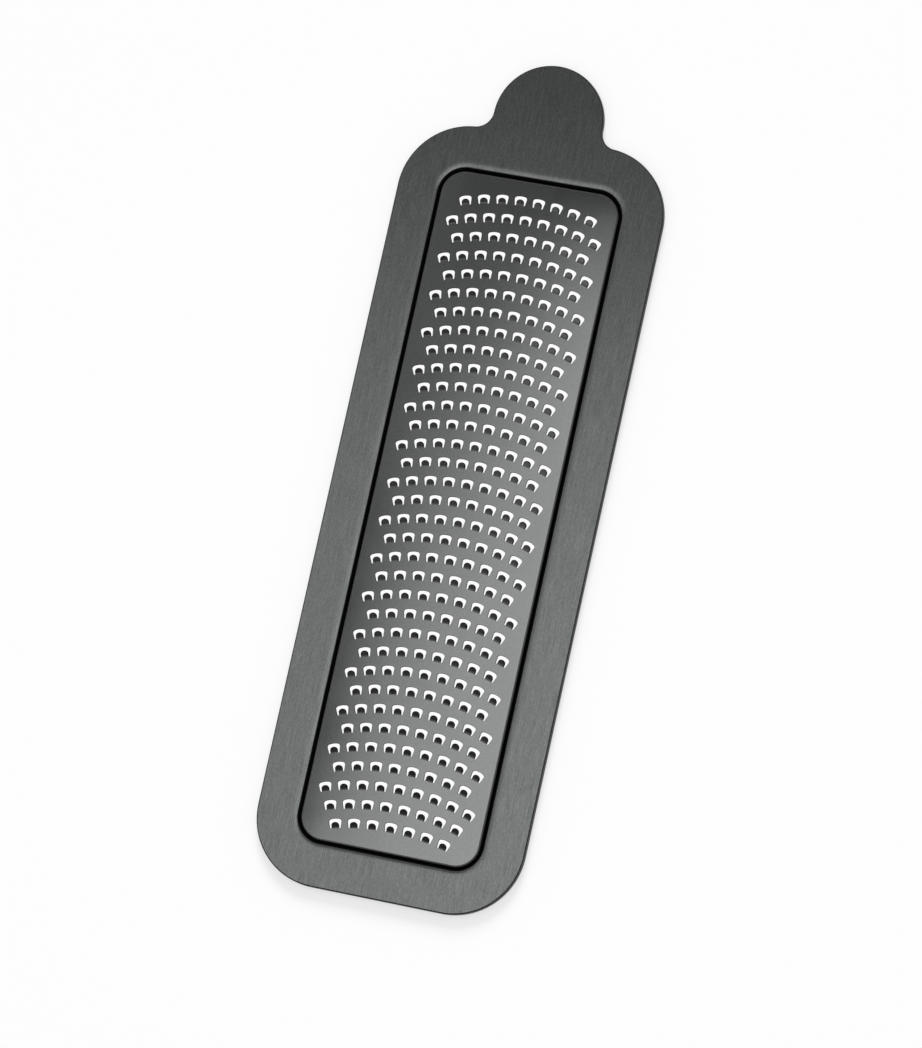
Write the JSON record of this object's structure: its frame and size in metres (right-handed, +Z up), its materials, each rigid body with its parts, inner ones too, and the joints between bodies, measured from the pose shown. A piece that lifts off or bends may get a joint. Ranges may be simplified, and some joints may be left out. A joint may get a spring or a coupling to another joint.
{
  "type": "flat grater",
  "caption": "Flat steel hand grater: a dark brushed frame with a round thumb tab and a window filled by a raised blade with curved rows of fine etched teeth.",
  "frame": {"origin": "under the middle of the plate's outline, tab included, on the plane that the plate lies on", "axes": "+X across the plate, +Y along it towards the thumb tab, +Z up out of the toothed face"},
  "size_m": [0.078, 0.2414, 0.0027],
  "materials": {
    "frame_steel": "dark coated stainless steel, brushed lengthwise, satin",
    "blade_steel": "dark stainless sheet, fine satin, etched teeth"
  },
  "bodies": {
    "root": {"front_frame": "frame_steel", "back_frame": "frame_steel", "grating_blade": "blade_steel"}
  },
  "joints": []
}
